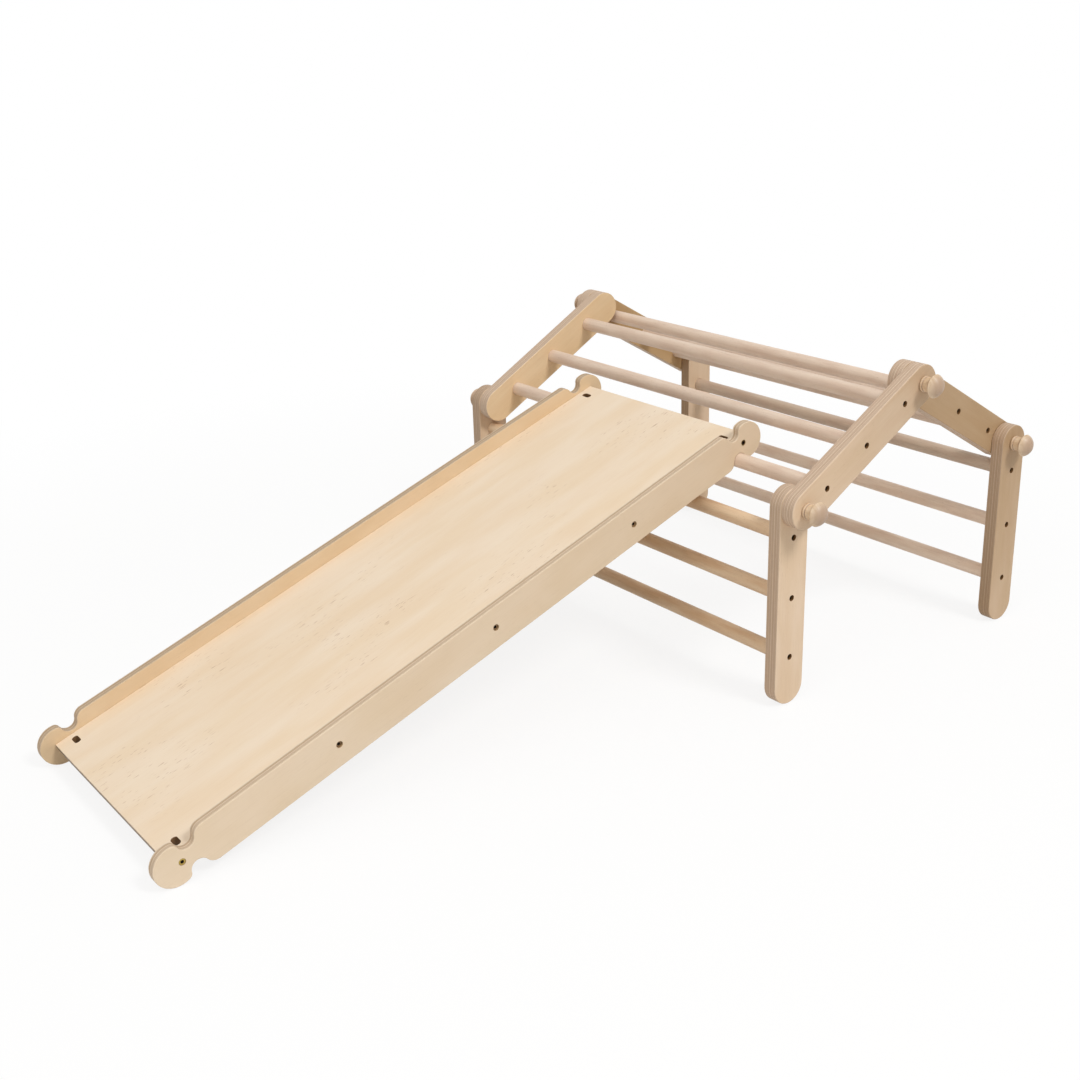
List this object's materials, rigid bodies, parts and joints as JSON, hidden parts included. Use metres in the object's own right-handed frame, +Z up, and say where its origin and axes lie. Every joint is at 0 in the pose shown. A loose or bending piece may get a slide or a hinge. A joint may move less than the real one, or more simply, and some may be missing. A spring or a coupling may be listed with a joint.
{
  "type": "climbing frame with ramp",
  "caption": "House-shaped wooden climbing frame of hinged ladders clamped by turned knobs, with a plywood ramp whose notched side rails hook onto a rung.",
  "frame": {"origin": "on the floor under the middle of the set's length and width", "axes": "+X up the ramp and on through the house, +Y along the rungs, +Z up from the floor"},
  "size_m": [1.5836, 0.9418, 0.532],
  "materials": {
    "rail_plywood": "sanded and clear oiled",
    "ramp_plywood": "sanded and clear oiled",
    "rung_beech": "turned and clear oiled",
    "knob_beech": "turned and clear lacquered",
    "dark_screw": "black oxide",
    "brass_screw": "satin",
    "brass_insert": "plain",
    "steel_stud": "zinc plated"
  },
  "bodies": {
    "front_leg_ladder": {"front_leg_near_rail": "rail_plywood", "front_leg_far_rail": "rail_plywood", "front_leg_top_rung": "rung_beech", "front_leg_middle_rung": "rung_beech", "front_leg_bottom_rung": "rung_beech", "front_leg_rung_screws": "dark_screw", "front_leg_insert": "brass_insert"},
    "front_roof_ladder": {"front_roof_near_rail": "rail_plywood", "front_roof_far_rail": "rail_plywood", "front_roof_bottom_rung": "rung_beech", "front_roof_middle_rung": "rung_beech", "front_roof_top_rung": "rung_beech", "front_roof_rung_screws": "dark_screw", "front_roof_inserts": "brass_insert"},
    "back_roof_ladder": {"back_roof_near_rail": "rail_plywood", "back_roof_far_rail": "rail_plywood", "back_roof_top_rung": "rung_beech", "back_roof_middle_rung": "rung_beech", "back_roof_bottom_rung": "rung_beech", "back_roof_rung_screws": "dark_screw", "back_roof_inserts": "brass_insert"},
    "back_leg_ladder": {"back_leg_near_rail": "rail_plywood", "back_leg_far_rail": "rail_plywood", "back_leg_top_rung": "rung_beech", "back_leg_middle_rung": "rung_beech", "back_leg_bottom_rung": "rung_beech", "back_leg_rung_screws": "dark_screw", "back_leg_insert": "brass_insert"},
    "front_near_clamp": {"front_near_knob": "knob_beech", "front_near_stud": "steel_stud"},
    "ridge_near_clamp": {"ridge_near_knob": "knob_beech", "ridge_near_stud": "steel_stud"},
    "back_near_clamp": {"back_near_knob": "knob_beech", "back_near_stud": "steel_stud"},
    "front_far_clamp": {"front_far_knob": "knob_beech", "front_far_stud": "steel_stud"},
    "ridge_far_clamp": {"ridge_far_knob": "knob_beech", "ridge_far_stud": "steel_stud"},
    "back_far_clamp": {"back_far_knob": "knob_beech", "back_far_stud": "steel_stud"},
    "ramp_board": {"ramp_near_rail": "ramp_plywood", "ramp_far_rail": "ramp_plywood", "ramp_deck": "ramp_plywood", "ramp_end_screws": "brass_screw", "ramp_middle_screws": "dark_screw"}
  },
  "joints": [
    {"name": "front_leg_fold", "type": "hinge", "parent": "front_roof_ladder", "child": "front_leg_ladder", "pos_m": [0.21939, 0, 0.344], "axis": [0, 1, 0], "range_deg": [-25, 50]},
    {"name": "ridge_fold", "type": "hinge", "parent": "front_roof_ladder", "child": "back_roof_ladder", "pos_m": [0.48959, 0, 0.5], "axis": [0, -1, 0], "range_deg": [-20, 60]},
    {"name": "back_leg_fold", "type": "hinge", "parent": "back_roof_ladder", "child": "back_leg_ladder", "pos_m": [0.75979, 0, 0.344], "axis": [0, -1, 0], "range_deg": [-25, 60]},
    {"name": "ramp_tilt", "type": "hinge", "parent": "front_roof_ladder", "child": "ramp_board", "pos_m": [0.26442, 0, 0.37], "axis": [0, 1, 0], "range_deg": [0, 20]},
    {"name": "front_near_knob_turn", "type": "hinge", "parent": "front_roof_ladder", "child": "front_near_clamp", "pos_m": [0.21939, 0, 0.344], "axis": [0, 1, 0], "continuous": true},
    {"name": "ridge_near_knob_turn", "type": "hinge", "parent": "front_roof_ladder", "child": "ridge_near_clamp", "pos_m": [0.48959, 0, 0.5], "axis": [0, 1, 0], "continuous": true},
    {"name": "back_near_knob_turn", "type": "hinge", "parent": "back_leg_ladder", "child": "back_near_clamp", "pos_m": [0.75979, 0, 0.344], "axis": [0, 1, 0], "continuous": true},
    {"name": "front_far_knob_turn", "type": "hinge", "parent": "front_leg_ladder", "child": "front_far_clamp", "pos_m": [0.21939, 0, 0.344], "axis": [0, 1, 0], "continuous": true},
    {"name": "ridge_far_knob_turn", "type": "hinge", "parent": "back_roof_ladder", "child": "ridge_far_clamp", "pos_m": [0.48959, 0, 0.5], "axis": [0, 1, 0], "continuous": true},
    {"name": "back_far_knob_turn", "type": "hinge", "parent": "back_roof_ladder", "child": "back_far_clamp", "pos_m": [0.75979, 0, 0.344], "axis": [0, 1, 0], "continuous": true}
  ]
}
